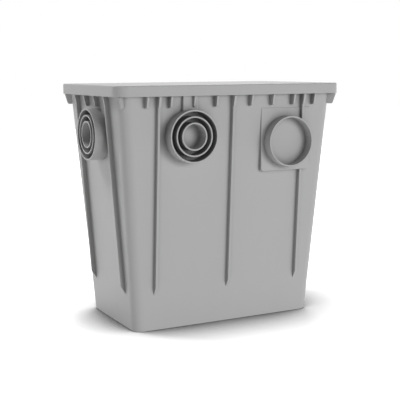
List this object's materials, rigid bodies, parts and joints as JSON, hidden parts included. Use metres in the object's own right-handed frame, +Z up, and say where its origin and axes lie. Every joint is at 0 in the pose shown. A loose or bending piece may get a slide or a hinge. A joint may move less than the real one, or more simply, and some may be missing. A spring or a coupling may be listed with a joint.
{
  "type": "grease trap",
  "caption": "Under-sink plastic grease trap: a tapered ribbed tub with knock-out pipe sockets, a lift-off sealed lid, baffle plates and a lift-out solids basket with a bail handle.",
  "frame": {"origin": "centre of the tub's flat floor, on the surface that it stands on", "axes": "+X along the long front side, from the side inlet's end to the outlet's end; +Y from the front side, which has the sockets, to the back; +Z up"},
  "size_m": [0.5389, 0.343, 0.511],
  "materials": {
    "grey_shell": "smooth moulded polypropylene, light satin",
    "grey_lid": "smooth moulded polypropylene, light satin",
    "seal_rubber": "soft black foam rubber",
    "inner_plastic": "plain polypropylene sheet",
    "basket_plastic": "moulded polypropylene",
    "handle_plastic": "moulded polypropylene"
  },
  "bodies": {
    "trap": {"tub": "grey_shell", "lid": "grey_lid", "lid_seal": "seal_rubber", "inlet_baffle": "inner_plastic", "outlet_baffle": "inner_plastic", "solids_basket": "basket_plastic"},
    "handle": {"basket_handle": "handle_plastic"}
  },
  "joints": [
    {"name": "handle_swing", "type": "hinge", "parent": "trap", "child": "handle", "pos_m": [-0.14146, 0, 0.3443], "axis": [0, 1, 0], "range_deg": [0, 180]}
  ]
}
